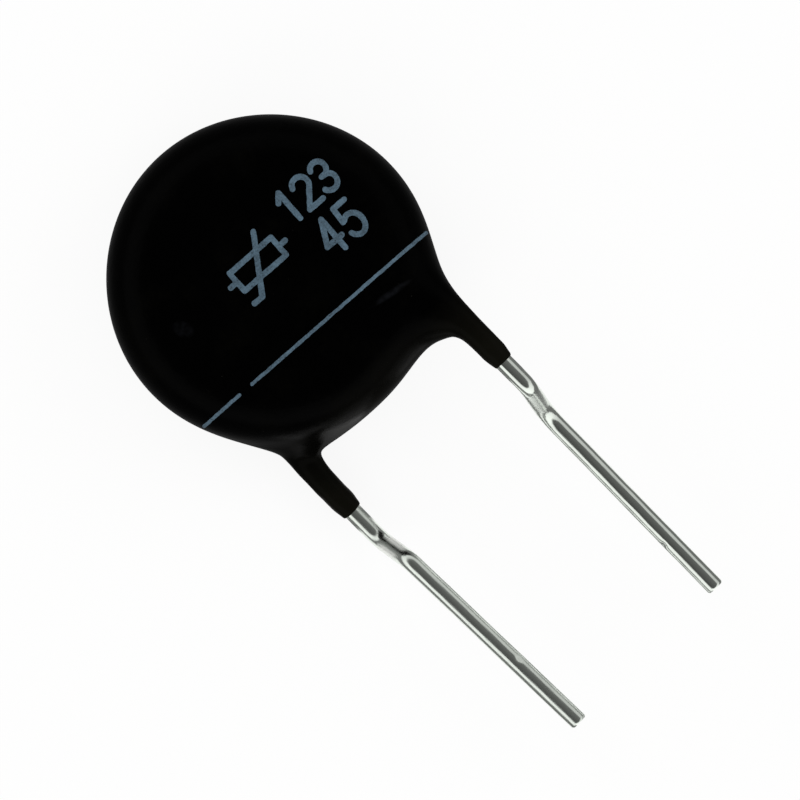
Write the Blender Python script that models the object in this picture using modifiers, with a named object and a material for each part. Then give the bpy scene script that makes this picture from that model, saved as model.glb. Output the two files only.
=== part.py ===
# Inrush current limiter: a sintered thermistor disc with a wire soldered on each face, dipped in black resin.
# It lies on the flat of its back with the printed face up (+Z) and its leads along -Y.
# The origin is on the disc's axis, at the flat of the back. Run with: blender --background --python part.py

import math

import bmesh
import bpy
from mathutils import Vector

MM = 0.001
COLLECTION_NAME = "inrush_current_limiter"

# Room between neighbouring pieces
CLEARANCE = 0.03 * MM

# Ceramic disc, with the silver fired on both of its faces
CERAMIC_DIAMETER = 10.0 * MM
CERAMIC_THICKNESS = 2.2 * MM
CERAMIC_CHAMFER = 0.12 * MM
ELECTRODE_MARGIN = 0.3 * MM
ELECTRODE_THICKNESS = 0.05 * MM
DISC_SEGMENTS = 48

# Wires, and the solder mounds that hold them on the silver
WIRE_DIAMETER = 0.65 * MM
WIRE_TIP = Vector((1.0, 1.6)) * MM
SOLDER_LENGTH = 5.2 * MM
SOLDER_PAST_TIP = 0.8 * MM
SOLDER_SIDE = 0.65 * MM
SOLDER_COVER = 0.22 * MM

# Leads outside the disc
LEAD_SPACING = 7.4 * MM
LEAD_REACH = 12.8 * MM
BEND_RADIUS = 1.6 * MM
BEND_BELOW_RIM = 0.4 * MM
KINK_RADIUS = 0.5 * MM
BEND_STEPS = 6
CORNER_SHARE = 0.45
TUBE_RESOLUTION = 3

# Resin body: a turned puck with a soft rim, a flat back and a slightly crowned face
RESIN_OVER_EDGE = 0.75 * MM
RESIN_OVER_SOLDER = 0.195 * MM
FACE_CROWN = 0.15 * MM
RIM_REACH = 2.15 * MM
RIM_EXPONENT = 2.4
BODY_SEGMENTS = 64
RIM_STEPS = 9
CROWN_STEPS = 3

# Resin legs over the wires; each blends into the body through a web of resin that hangs under the wire
RESIN_ON_WIRE = 0.105 * MM
LEG_ROOT_BELOW_RIM = 0.5 * MM
LEG_ROOT_FADE = 2.2 * MM
LEG_ROOT_DEPTH = 1.0 * MM
LEG_END_TAPER = 0.35 * MM
LEG_END_WALL = 0.06 * MM
LEG_SIDES = 20
LEG_SECTIONS = 30
BLEND_STEPS = 8
BLEND_RATE = 0.8
GRADIENT_STEP = 0.002 * MM

# The right wire lies on the front of the ceramic and the left wire on its back
LEADS = {
    "right": {
        "side": 1,
        "face": 1,
        "leg_length": 1.95 * MM,
        "stub_length": 1.55 * MM,
        "kink_length": 0.95 * MM,
        "kink_inset": 0.17 * MM,
        "lean_degrees": 0.35,
        "leg_blend": 1.3 * MM,
        "web_inset": 0.35 * MM,
        "web_below_rim": 0.9 * MM,
        "web_under_wire": 0.55 * MM,
        "web_radii": (0.4 * MM, 0.57 * MM, 0.5 * MM),
        "web_blend": 4.0 * MM,
    },
    "left": {
        "side": -1,
        "face": -1,
        "leg_length": 2.1 * MM,
        "stub_length": 1.15 * MM,
        "kink_length": 1.15 * MM,
        "kink_inset": 0.26 * MM,
        "lean_degrees": 1.7,
        "leg_blend": 2.0 * MM,
        "web_inset": 1.3 * MM,
        "web_below_rim": -0.9 * MM,
        "web_under_wire": 0.7 * MM,
        "web_radii": (0.85 * MM, 1.2 * MM, 0.5 * MM),
        "web_blend": 4.4 * MM,
    },
}

# Print: a chord line with one break, and marks that read along the line. The line is placed from where the
# legs leave the rim, its break from the left rim, and the marks from the right rim and from the line.
PRINT_GAP = 0.02 * MM
PRINT_THICKNESS = 0.04 * MM
PRINT_TILT_DEGREES = -3.8
STROKE_WIDTH = 0.22 * MM
LINE_WIDTH = 0.11 * MM
LINE_ABOVE_LEGS = 1.51 * MM
LINE_BREAK_FROM_RIM = 2.54 * MM
LINE_BREAK_LENGTH = 0.47 * MM
ARC_STEPS = 6
SYMBOL_FROM_RIM = 5.75 * MM
SYMBOL_ABOVE_LINE = 3.0 * MM
SYMBOL_LENGTH = 1.9 * MM
SYMBOL_HEIGHT = 0.8 * MM
SYMBOL_TAIL = 0.3 * MM
SLASH_LENGTH = 1.24 * MM
SLASH_HEIGHT = 1.9 * MM
SLASH_FOOT = 0.36 * MM
DIGIT_GROUPS = [
    {
        "digits": "123",
        "from_rim": 3.97 * MM,
        "above_line": 3.24 * MM,
        "width": 0.6 * MM,
        "height": 1.15 * MM,
        "pitch": 0.82 * MM,
    },
    {
        "digits": "45",
        "from_rim": 3.55 * MM,
        "above_line": 1.45 * MM,
        "width": 0.66 * MM,
        "height": 1.28 * MM,
        "pitch": 0.92 * MM,
    },
]

# Sizes that follow from the ones above; heights are measured from the disc's middle plane
CERAMIC_RADIUS = CERAMIC_DIAMETER / 2
ELECTRODE_RADIUS = CERAMIC_RADIUS - ELECTRODE_MARGIN
ELECTRODE_SEAT = CERAMIC_THICKNESS / 2 + CLEARANCE
SOLDER_SEAT = ELECTRODE_SEAT + ELECTRODE_THICKNESS + CLEARANCE
SOLDER_HEIGHT = WIRE_DIAMETER + SOLDER_COVER
WIRE_RADIUS = WIRE_DIAMETER / 2
WIRE_LEVEL = SOLDER_SEAT + WIRE_RADIUS
BODY_RADIUS = CERAMIC_RADIUS + RESIN_OVER_EDGE
FLAT_RADIUS = BODY_RADIUS - RIM_REACH
MID_Z = SOLDER_SEAT + SOLDER_HEIGHT + RESIN_OVER_SOLDER
LEG_RADIUS = WIRE_RADIUS + RESIN_ON_WIRE
LEG_X = LEAD_SPACING / 2
LEAD_END_Y = -BODY_RADIUS - LEAD_REACH


def clear_scene():
    for obj in list(bpy.data.objects):
        bpy.data.objects.remove(obj, do_unlink=True)


def make_collection(name):
    collection = bpy.data.collections.new(name)
    bpy.context.scene.collection.children.link(collection)
    return collection


def make_material(name, colour, roughness, metallic):
    material = bpy.data.materials.new(name)
    material.use_nodes = True
    shader = material.node_tree.nodes["Principled BSDF"]
    shader.inputs["Base Color"].default_value = (*colour, 1.0)
    shader.inputs["Roughness"].default_value = roughness
    shader.inputs["Metallic"].default_value = metallic
    material.diffuse_color = (*colour, 1.0)
    return material


def add_part(name, mesh, collection, material):
    part = bpy.data.objects.new(name, mesh)
    collection.objects.link(part)
    mesh.materials.append(material)
    return part


def add_guide(name, mesh, collection):
    guide = bpy.data.objects.new(name, mesh)
    collection.objects.link(guide)
    guide.hide_render = True
    guide.display_type = "WIRE"
    return guide


def mesh_from(bm, name):
    mesh = bpy.data.meshes.new(name)
    bm.to_mesh(mesh)
    bm.free()
    return mesh


def boolean(target, other, operation):
    modifier = target.modifiers.new(f"{operation.lower()} {other.name}", "BOOLEAN")
    modifier.operation = operation
    modifier.solver = "EXACT"
    modifier.object = other


def profile_mesh(points, name):
    # An edge path in the XZ plane, for a Screw modifier to turn about Z
    bm = bmesh.new()
    verts = [bm.verts.new((radius, 0.0, height)) for radius, height in points]
    for first, second in zip(verts, verts[1:]):
        bm.edges.new((first, second))
    return mesh_from(bm, name)


def turn(obj, segments):
    screw = obj.modifiers.new("turn", "SCREW")
    screw.steps = segments
    screw.render_steps = segments
    screw.use_merge_vertices = True
    screw.merge_threshold = 1e-6
    screw.use_smooth_shade = True


def rim_point(angle, offset=0.0):
    # Superellipse from the silhouette (angle 0) to the edge of the flat (90 degrees), moved out by the offset
    power = 2 / RIM_EXPONENT
    cosine = max(math.cos(angle), 0.0)
    sine = math.sin(angle)
    normal = Vector((cosine ** (2 - power) / RIM_REACH, sine ** (2 - power) / MID_Z)).normalized()
    radius = FLAT_RADIUS + RIM_REACH * cosine ** power + normal.x * offset
    height = MID_Z * sine ** power + normal.y * offset
    return radius, height


def rim_radius(height):
    # The body's radius at a height above or below its middle plane
    return FLAT_RADIUS + RIM_REACH * (1 - (height / MID_Z) ** RIM_EXPONENT) ** (1 / RIM_EXPONENT)


def leg_rim_y():
    # Where a leg's axis comes out through the rim
    return -math.sqrt(rim_radius(WIRE_LEVEL) ** 2 - LEG_X ** 2)


def line_y():
    # Height of the chord line in the print's own coordinates
    return leg_rim_y() + LINE_ABOVE_LEGS


def crown_at(radius):
    return FACE_CROWN * (1 - min(radius / BODY_RADIUS, 1.0) ** 2)


def face_profile(offset=0.0):
    # From the middle of the printed face out to the silhouette
    points = []
    for step in range(CROWN_STEPS):
        radius = FLAT_RADIUS * step / CROWN_STEPS
        points.append((radius, MID_Z * 2 + crown_at(radius) + offset))
    for step in range(RIM_STEPS + 1):
        radius, height = rim_point(math.pi / 2 * (1 - step / RIM_STEPS), offset)
        points.append((radius, MID_Z + height + crown_at(radius)))
    return points


def back_profile():
    # From just under the silhouette in to the middle of the flat back
    points = []
    for step in range(1, RIM_STEPS + 1):
        radius, height = rim_point(math.pi / 2 * step / RIM_STEPS)
        points.append((radius, MID_Z - height))
    points.append((0.0, 0.0))
    return points


def round_corner(before, corner, after, radius):
    # Points of the arc that rounds one corner of a path, never longer than its neighbours allow
    back = (before - corner).normalized()
    ahead = (after - corner).normalized()
    half = back.angle(ahead) / 2
    room = CORNER_SHARE * min((before - corner).length, (after - corner).length)
    reach = min(radius / math.tan(half), room)
    centre = corner + (back + ahead).normalized() * reach / math.cos(half)
    start = corner + back * reach - centre
    end = corner + ahead * reach - centre
    sweep = start.angle(end)
    points = []
    for step in range(BEND_STEPS + 1):
        part = step / BEND_STEPS
        spoke = start * math.sin((1 - part) * sweep) + end * math.sin(part * sweep)
        points.append(centre + spoke / math.sin(sweep))
    return points


def wire_heading():
    # Direction in which a wire crosses its face of the ceramic, from its tip to its bend
    return (Vector((LEG_X, leg_rim_y() - BEND_BELOW_RIM)) - WIRE_TIP).normalized()


def lead_path(lead, stop_y=None, extra=0.0):
    # Across the ceramic's face, down the leg, through the kink to the middle plane, and down to the cut end
    side = lead["side"]
    level = MID_Z + lead["face"] * WIRE_LEVEL
    kink_start_y = -BODY_RADIUS - lead["leg_length"] - lead["stub_length"]
    kink_end_y = kink_start_y - lead["kink_length"]
    kink_x = LEG_X - lead["kink_inset"]
    end_x = kink_x - math.tan(math.radians(lead["lean_degrees"])) * (kink_end_y - LEAD_END_Y)
    tip = WIRE_TIP - wire_heading() * extra
    corners = [
        (Vector((side * tip.x, tip.y, level)), 0.0),
        (Vector((side * LEG_X, leg_rim_y() - BEND_BELOW_RIM, level)), BEND_RADIUS),
    ]
    if stop_y is None:
        corners.append((Vector((side * LEG_X, kink_start_y, level)), KINK_RADIUS))
        corners.append((Vector((side * kink_x, kink_end_y, MID_Z)), KINK_RADIUS))
        corners.append((Vector((side * end_x, LEAD_END_Y, MID_Z)), 0.0))
    else:
        corners.append((Vector((side * LEG_X, stop_y, level)), 0.0))
    points = [corners[0][0]]
    for (before, _), (corner, radius), (after, _) in zip(corners, corners[1:], corners[2:]):
        points += round_corner(before, corner, after, radius)
    points.append(corners[-1][0])
    return points


def tube_mesh(name, points, radius):
    # A curve swept into a capped tube, then made a welded mesh
    curve = bpy.data.curves.new(name, "CURVE")
    curve.dimensions = "3D"
    curve.bevel_depth = radius
    curve.bevel_resolution = TUBE_RESOLUTION
    curve.use_fill_caps = True
    spline = curve.splines.new("POLY")
    spline.points.add(len(points) - 1)
    for point, place in zip(spline.points, points):
        point.co = (*place, 1.0)
    sweep = bpy.data.objects.new(f"{name}_sweep", curve)
    bpy.context.scene.collection.objects.link(sweep)
    evaluated = sweep.evaluated_get(bpy.context.evaluated_depsgraph_get())
    mesh = bpy.data.meshes.new_from_object(evaluated)
    mesh.name = name
    bpy.data.objects.remove(sweep)
    bpy.data.curves.remove(curve)
    bm = bmesh.new()
    bm.from_mesh(mesh)
    bmesh.ops.remove_doubles(bm, verts=bm.verts, dist=1e-7)
    bm.to_mesh(mesh)
    bm.free()
    mesh.shade_smooth()
    mesh.set_sharp_from_angle(angle=math.radians(50))
    return mesh


def disc_mesh(name, radius, bottom, top, chamfer=0.0):
    # A round plate between two heights, its corners chamfered if asked
    depth = top - bottom
    bm = bmesh.new()
    bmesh.ops.create_cone(
        bm, cap_ends=True, segments=DISC_SEGMENTS, radius1=radius, radius2=radius, depth=depth
    )
    bmesh.ops.translate(bm, verts=bm.verts, vec=(0.0, 0.0, (top + bottom) / 2))
    if chamfer:
        rims = [edge for edge in bm.edges if abs(edge.verts[0].co.z - edge.verts[1].co.z) < depth / 2]
        bmesh.ops.bevel(bm, geom=rims, offset=chamfer, segments=1, affect="EDGES")
    mesh = mesh_from(bm, name)
    mesh.shade_smooth()
    mesh.set_sharp_from_angle(angle=math.radians(40))
    return mesh


def solder_mesh(name, lead, grow=0.0):
    # Half an ellipsoid that lies along the wire on the silver, grown on all sides for its room in the resin
    side = lead["side"]
    heading = wire_heading()
    middle = WIRE_TIP + heading * (SOLDER_LENGTH / 2 - SOLDER_PAST_TIP)
    angle = math.atan2(heading.y, heading.x)
    bm = bmesh.new()
    bmesh.ops.create_uvsphere(bm, u_segments=24, v_segments=16, radius=1.0)
    bmesh.ops.delete(bm, geom=[vert for vert in bm.verts if vert.co.z < -1e-6], context="VERTS")
    bmesh.ops.edgeloop_fill(bm, edges=[edge for edge in bm.edges if edge.is_boundary])
    bmesh.ops.recalc_face_normals(bm, faces=bm.faces)
    for vert in bm.verts:
        along = vert.co.x * (SOLDER_LENGTH / 2 + grow)
        across = vert.co.y * (WIRE_RADIUS + SOLDER_SIDE + grow)
        height = SOLDER_SEAT - grow + vert.co.z * (SOLDER_HEIGHT + 2 * grow)
        x = middle.x + along * math.cos(angle) - across * math.sin(angle)
        y = middle.y + along * math.sin(angle) + across * math.cos(angle)
        vert.co = (side * x, y, MID_Z + lead["face"] * height)
    if side * lead["face"] < 0:
        bmesh.ops.reverse_faces(bm, faces=bm.faces)
    mesh = mesh_from(bm, name)
    mesh.shade_smooth()
    mesh.set_sharp_from_angle(angle=math.radians(50))
    return mesh


def body_distance(place):
    # How far a point lies outside the turned body
    radius = math.hypot(place.x, place.y)
    outward = max(radius - FLAT_RADIUS, 0.0) / RIM_REACH
    height = place.z - MID_Z
    upward = max(height - crown_at(radius), -height, 0.0) / MID_Z
    return ((outward ** RIM_EXPONENT + upward ** RIM_EXPONENT) ** (1 / RIM_EXPONENT) - 1) * MID_Z


def tube_distance(place, lead):
    # How far a point lies outside the straight tube of resin on a wire
    across = lead["side"] * place.x - LEG_X
    level = lead["face"] * (place.z - MID_Z) - WIRE_LEVEL
    return math.hypot(across, level) - LEG_RADIUS


def leg_distance(place, lead):
    # The same for the leg, whose root fades out towards the rim
    past_root = place.y - leg_rim_y() + LEG_ROOT_BELOW_RIM
    return -soft_union(-tube_distance(place, lead), -past_root, LEG_ROOT_FADE)


def web_distance(place, lead):
    # How far a point lies outside the ellipsoid in the middle of a leg's web
    width, length, height = lead["web_radii"]
    across = lead["side"] * place.x - LEG_X + lead["web_inset"]
    along = place.y - leg_rim_y() + lead["web_below_rim"]
    level = lead["face"] * (place.z - MID_Z) - WIRE_LEVEL + lead["web_under_wire"]
    return (math.hypot(across / width, along / length, level / height) - 1) * length


def soft_union(first, second, blend):
    # The smaller of two distances, less where both are alike, which makes a fillet
    overlap = max(blend - abs(first - second), 0.0) / blend
    return min(first, second) - overlap ** 3 * blend / 6


def resin_distance(place):
    # How far a point lies outside the whole coat of resin, which ends at the flat of the back
    distance = body_distance(place)
    for lead in LEADS.values():
        distance = soft_union(distance, web_distance(place, lead), lead["web_blend"])
        distance = soft_union(distance, leg_distance(place, lead), lead["leg_blend"])
    return max(distance, -place.z)


def outward_at(place, distance):
    # Direction in which a distance grows fastest
    slopes = []
    for axis in range(3):
        step = Vector((0.0, 0.0, 0.0))
        step[axis] = GRADIENT_STEP
        slopes.append(distance(place + step) - distance(place - step))
    return Vector(slopes).normalized()


def blend(bm, distance, hidden):
    # Moves a form's points out until they are as far from the coat as they were from the form itself,
    # but not the points that another form hides
    for vert in bm.verts:
        if hidden(vert.co):
            continue
        start = distance(vert.co)
        outward = outward_at(vert.co, distance)
        for _ in range(BLEND_STEPS):
            vert.co += outward * max(start - resin_distance(vert.co), 0.0) * BLEND_RATE


def turned_mesh(name, outline):
    # A turned form whose surface follows the coat where the legs and their webs leave it
    source = bpy.data.objects.new(name, profile_mesh(outline, name))
    bpy.context.scene.collection.objects.link(source)
    turn(source, BODY_SEGMENTS)
    mesh = bpy.data.meshes.new_from_object(source.evaluated_get(bpy.context.evaluated_depsgraph_get()))
    mesh.name = name
    bpy.data.objects.remove(source)
    bm = bmesh.new()
    bm.from_mesh(mesh)
    blend(bm, body_distance, lambda place: min(leg_distance(place, lead) for lead in LEADS.values()) < 0)
    bm.to_mesh(mesh)
    bm.free()
    return mesh


def leg_mesh(name, lead):
    # A loft along Y: a root inside the body, the straight leg and its tapered end
    root_y = leg_rim_y() + LEG_ROOT_DEPTH
    end_y = -BODY_RADIUS - lead["leg_length"]
    run = root_y - end_y - LEG_END_TAPER
    sections = [(root_y - run * step / LEG_SECTIONS, LEG_RADIUS) for step in range(LEG_SECTIONS + 1)]
    sections.append((end_y, WIRE_RADIUS + LEG_END_WALL))
    bm = bmesh.new()
    rings = []
    for y, radius in sections:
        ring = []
        for corner in range(LEG_SIDES):
            angle = 2 * math.pi * corner / LEG_SIDES
            across = LEG_X + radius * math.cos(angle)
            level = WIRE_LEVEL + radius * math.sin(angle)
            ring.append(bm.verts.new((lead["side"] * across, y, MID_Z + lead["face"] * level)))
        rings.append(ring)
    for ring, following in zip(rings, rings[1:]):
        for corner in range(LEG_SIDES):
            after = (corner + 1) % LEG_SIDES
            bm.faces.new((ring[corner], ring[after], following[after], following[corner]))
    bm.faces.new(rings[0][::-1])
    bm.faces.new(rings[-1])
    if lead["side"] * lead["face"] < 0:
        bmesh.ops.reverse_faces(bm, faces=bm.faces)
    blend(bm, lambda place: tube_distance(place, lead), lambda place: body_distance(place) < 0)
    return mesh_from(bm, name)


def wire_room(name, lead, guides):
    # The bore that a wire runs in, a clearance wider than the wire and open at the end of the leg
    stop_y = -BODY_RADIUS - lead["leg_length"] - WIRE_RADIUS
    mesh = tube_mesh(name, lead_path(lead, stop_y, CLEARANCE), WIRE_RADIUS + CLEARANCE)
    return add_guide(name, mesh, guides)


def make_coating(parts, guides, material):
    # The turned body and its legs, hollowed for the ceramic, the silver, the solder and the wires
    coating = add_part("coating", turned_mesh("coating", face_profile() + back_profile()), parts, material)
    for name, lead in LEADS.items():
        form = add_guide(f"{name}_leg_form", leg_mesh(f"{name}_leg_form", lead), guides)
        boolean(coating, form, "UNION")
    half = CERAMIC_THICKNESS / 2 + CLEARANCE
    radius = CERAMIC_RADIUS + CLEARANCE
    mesh = disc_mesh("ceramic_room", radius, MID_Z - half, MID_Z + half, CERAMIC_CHAMFER)
    boolean(coating, add_guide("ceramic_room", mesh, guides), "DIFFERENCE")
    radius = ELECTRODE_RADIUS + CLEARANCE
    mesh = disc_mesh("silver_room", radius, MID_Z - SOLDER_SEAT, MID_Z + SOLDER_SEAT)
    boolean(coating, add_guide("silver_room", mesh, guides), "DIFFERENCE")
    for name, lead in LEADS.items():
        mesh = solder_mesh(f"{name}_solder_room", lead, CLEARANCE)
        boolean(coating, add_guide(f"{name}_solder_room", mesh, guides), "DIFFERENCE")
        boolean(coating, wire_room(f"{name}_wire_room", lead, guides), "DIFFERENCE")


def make_ceramic(parts, material):
    half = CERAMIC_THICKNESS / 2
    mesh = disc_mesh("ceramic_disc", CERAMIC_RADIUS, MID_Z - half, MID_Z + half, CERAMIC_CHAMFER)
    add_part("ceramic_disc", mesh, parts, material)


def make_electrodes(parts, material):
    for name, face in (("front_electrode", 1), ("back_electrode", -1)):
        near = MID_Z + face * ELECTRODE_SEAT
        far = near + face * ELECTRODE_THICKNESS
        mesh = disc_mesh(name, ELECTRODE_RADIUS, min(near, far), max(near, far))
        add_part(name, mesh, parts, material)


def make_leads(parts, guides, wire_material, solder_material):
    for name, lead in LEADS.items():
        wire = tube_mesh(f"{name}_lead", lead_path(lead), WIRE_RADIUS)
        add_part(f"{name}_lead", wire, parts, wire_material)
        solder_name = "front_solder" if lead["face"] > 0 else "back_solder"
        solder = add_part(solder_name, solder_mesh(solder_name, lead), parts, solder_material)
        boolean(solder, wire_room(f"{solder_name}_bore", lead, guides), "DIFFERENCE")


def arc(centre, radii, start, stop):
    # Points of an elliptical arc, angles in degrees
    points = []
    for step in range(ARC_STEPS + 1):
        angle = math.radians(start + (stop - start) * step / ARC_STEPS)
        points.append((centre[0] + radii[0] * math.cos(angle), centre[1] + radii[1] * math.sin(angle)))
    return points


def digit_strokes(digit, w, h):
    # Pen strokes of a plain digit in a box of this width and height, its lower left corner at the origin
    r = w / 2
    three_top = arc((r, 0.75 * h), (0.92 * r, 0.25 * h), 155, -100)
    three_bowl = arc((r, 0.26 * h), (r, 0.26 * h), 105, -155)
    five_flag = [(0.9 * w, h), (0.14 * w, h), (0.08 * w, 0.55 * h)]
    five_bowl = arc((r, 0.32 * h), (r, 0.32 * h), 115, -155)
    strokes = {
        "1": [[(0.22 * w, 0.76 * h), (0.62 * w, h), (0.62 * w, 0)]],
        "2": [arc((r, h - r), (r, r), 165, -35) + [(0, 0), (w, 0)]],
        "3": [three_top, three_bowl],
        "4": [[(0.7 * w, 0), (0.7 * w, h)], [(0.7 * w, h), (0, 0.32 * h), (w, 0.32 * h)]],
        "5": [five_flag + five_bowl],
    }
    return strokes[digit]


def symbol_strokes():
    # The circuit symbol of a thermistor: a box with a tail at each end, crossed by a slash with a foot
    x, y = SYMBOL_LENGTH / 2, SYMBOL_HEIGHT / 2
    box = [(-x, -y), (x, -y), (x, y), (-x, y)]
    low = (-SLASH_LENGTH / 2, -SLASH_HEIGHT / 2)
    slash = [(low[0] - SLASH_FOOT, low[1]), low, (SLASH_LENGTH / 2, SLASH_HEIGHT / 2)]
    tails = [[(side * x, 0.0), (side * (x + SYMBOL_TAIL), 0.0)] for side in (-1, 1)]
    return [box, slash] + tails


def placed(points, corner):
    # From a mark's own coordinates to the row frame: shifted to its corner, then tilted with the chord line
    tilt = math.radians(PRINT_TILT_DEGREES)
    moved = []
    for x, y in points:
        x += corner[0]
        y += corner[1]
        moved.append((x * math.cos(tilt) - y * math.sin(tilt), x * math.sin(tilt) + y * math.cos(tilt)))
    return moved


def stroke_mesh(name, points, closed):
    # A thin upright wall along a pen stroke, tall enough to pass through the printed face
    bm = bmesh.new()
    top = MID_Z * 2 + FACE_CROWN + STROKE_WIDTH
    low = [bm.verts.new((x, y, MID_Z)) for x, y in points]
    high = [bm.verts.new((x, y, top)) for x, y in points]
    last = len(points) if closed else len(points) - 1
    for first in range(last):
        second = (first + 1) % len(points)
        bm.faces.new((low[first], low[second], high[second], high[first]))
    return mesh_from(bm, name)


def thicken(obj, width):
    solidify = obj.modifiers.new("stroke width", "SOLIDIFY")
    solidify.thickness = width
    solidify.offset = 0.0
    solidify.use_even_offset = True


def ink_film(guides):
    # A thin skin that follows the printed face, a small gap above it
    outline = face_profile(PRINT_GAP + PRINT_THICKNESS) + face_profile(PRINT_GAP)[::-1]
    return add_guide("ink_film", turned_mesh("ink_film", outline), guides)


def make_mark(name, strokes, corner, width, parts, guides, material, closed=False):
    # A mark is its strokes joined, and then only what lies within the ink film over the face
    mark = add_part(name, stroke_mesh(name, placed(strokes[0], corner), closed), parts, material)
    thicken(mark, width)
    for number, points in enumerate(strokes[1:], 2):
        stroke_name = f"{name}_stroke_{number}"
        stroke = add_guide(stroke_name, stroke_mesh(stroke_name, placed(points, corner), False), guides)
        thicken(stroke, width)
        boolean(mark, stroke, "UNION")
    boolean(mark, bpy.data.objects["ink_film"], "INTERSECT")


def make_print(parts, guides, material):
    ink_film(guides)
    past_rim = BODY_RADIUS + STROKE_WIDTH + PRINT_THICKNESS + PRINT_GAP
    break_x = -BODY_RADIUS + LINE_BREAK_FROM_RIM
    stretches = {
        "print_line_short": (-past_rim, break_x - LINE_BREAK_LENGTH / 2),
        "print_line_long": (break_x + LINE_BREAK_LENGTH / 2, past_rim),
    }
    for name, (start, stop) in stretches.items():
        make_mark(name, [[(start, 0.0), (stop, 0.0)]], (0.0, line_y()), LINE_WIDTH, parts, guides, material)
    centre = (BODY_RADIUS - SYMBOL_FROM_RIM, line_y() + SYMBOL_ABOVE_LINE)
    make_mark("print_symbol", symbol_strokes(), centre, STROKE_WIDTH, parts, guides, material, True)
    for group in DIGIT_GROUPS:
        for place, digit in enumerate(group["digits"]):
            corner_x = BODY_RADIUS - group["from_rim"] + group["pitch"] * place
            corner = (corner_x, line_y() + group["above_line"])
            strokes = digit_strokes(digit, group["width"], group["height"])
            make_mark(f"print_digit_{digit}", strokes, corner, STROKE_WIDTH, parts, guides, material)


def main():
    clear_scene()
    parts = make_collection(COLLECTION_NAME)
    guides = make_collection("guides")
    resin = make_material("black resin", (0.006, 0.006, 0.005), 0.35, 0.0)
    ceramic = make_material("thermistor ceramic", (0.035, 0.034, 0.036), 0.65, 0.0)
    silver = make_material("fired silver", (0.78, 0.77, 0.74), 0.45, 1.0)
    solder = make_material("solder", (0.62, 0.62, 0.63), 0.28, 1.0)
    tin = make_material("tinned wire", (0.80, 0.80, 0.79), 0.16, 1.0)
    ink = make_material("grey blue ink", (0.08, 0.125, 0.165), 0.6, 0.0)
    make_coating(parts, guides, resin)
    make_ceramic(parts, ceramic)
    make_electrodes(parts, silver)
    make_leads(parts, guides, tin, solder)
    make_print(parts, guides, ink)


main()
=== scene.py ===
import math

import bmesh
import bpy
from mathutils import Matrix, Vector, geometry, noise
from mathutils.bvhtree import BVHTree


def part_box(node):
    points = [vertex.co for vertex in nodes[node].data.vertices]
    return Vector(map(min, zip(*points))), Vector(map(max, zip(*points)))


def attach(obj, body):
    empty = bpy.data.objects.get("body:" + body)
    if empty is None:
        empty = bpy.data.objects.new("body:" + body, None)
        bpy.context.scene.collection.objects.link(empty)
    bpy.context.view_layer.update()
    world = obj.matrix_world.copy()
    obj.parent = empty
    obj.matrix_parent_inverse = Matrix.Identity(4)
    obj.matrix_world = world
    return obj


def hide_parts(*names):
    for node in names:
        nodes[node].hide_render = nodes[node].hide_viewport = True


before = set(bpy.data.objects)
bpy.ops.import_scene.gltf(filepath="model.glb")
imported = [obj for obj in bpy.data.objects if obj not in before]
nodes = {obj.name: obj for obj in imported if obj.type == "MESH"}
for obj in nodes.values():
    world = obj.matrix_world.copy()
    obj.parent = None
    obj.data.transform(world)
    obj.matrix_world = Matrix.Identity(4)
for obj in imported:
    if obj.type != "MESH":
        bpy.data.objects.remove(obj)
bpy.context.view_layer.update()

# Pieces are built in millimetres and shrunk to metres when their mesh is final
mm = 0.001


def boxOf(node):
    low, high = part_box(node)
    return low / mm, high / mm


# places that the frame fixes, in millimetres
wireRadius = 0.325
ceramicLow, ceramicHigh = boxOf("ceramic_disc")
midHeight = (ceramicLow.z + ceramicHigh.z) / 2
discRadius = boxOf("coating")[1].y
frontWireHeight = boxOf("right_lead")[1].z - wireRadius
backWireHeight = boxOf("left_lead")[0].z + wireRadius
wireLevel = frontWireHeight - midHeight
leadEnd = boxOf("right_lead")[0].y


# node tree helpers

class Field:
    # a number in a node tree, so that a rule reads like a formula
    def __init__(self, tree, socket):
        self.tree = tree
        self.socket = socket

    def apply(self, operation, *others):
        node = self.tree.nodes.new("ShaderNodeMath")
        node.operation = operation
        for slot, value in zip(node.inputs, (self, *others)):
            if isinstance(value, Field):
                self.tree.links.new(value.socket, slot)
            else:
                slot.default_value = value
        return Field(self.tree, node.outputs[0])

    def __add__(self, other):
        return self.apply("ADD", other)

    def __sub__(self, other):
        return self.apply("SUBTRACT", other)

    def __mul__(self, other):
        return self.apply("MULTIPLY", other)

    def __truediv__(self, other):
        return self.apply("DIVIDE", other)

    def __pow__(self, other):
        return self.apply("POWER", other)

    def root(self):
        return self.apply("SQRT")

    def atLeast(self, other):
        return self.apply("MAXIMUM", other)

    def atMost(self, other):
        return self.apply("MINIMUM", other)

    def clamped(self):
        return self.atLeast(0.0).atMost(1.0)

    def eased(self):
        part = self.clamped()
        return part * part * (part * -2.0 + 3.0)

    def softMin(self, other, width):
        return self.apply("SMOOTH_MIN", other, width)

    def softMax(self, other, width):
        return self.apply("SMOOTH_MAX", other, width)


def addNode(tree, kind, settings=None, links=None):
    # one node, its properties and sockets set or linked by name or number
    node = tree.nodes.new(kind)
    for key, value in (settings or {}).items():
        if isinstance(key, str) and hasattr(node, key):
            setattr(node, key, value)
        else:
            node.inputs[key].default_value = value
    for key, socket in (links or {}).items():
        tree.links.new(socket.socket if isinstance(socket, Field) else socket, node.inputs[key])
    return node


def noiseField(tree, place, scale, detail=2.0):
    # noise round zero, from about -0.5 to 0.5
    node = addNode(tree, "ShaderNodeTexNoise", {"Scale": scale, "Detail": detail}, {"Vector": place})
    return Field(tree, node.outputs["Fac"]) - 0.5


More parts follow.
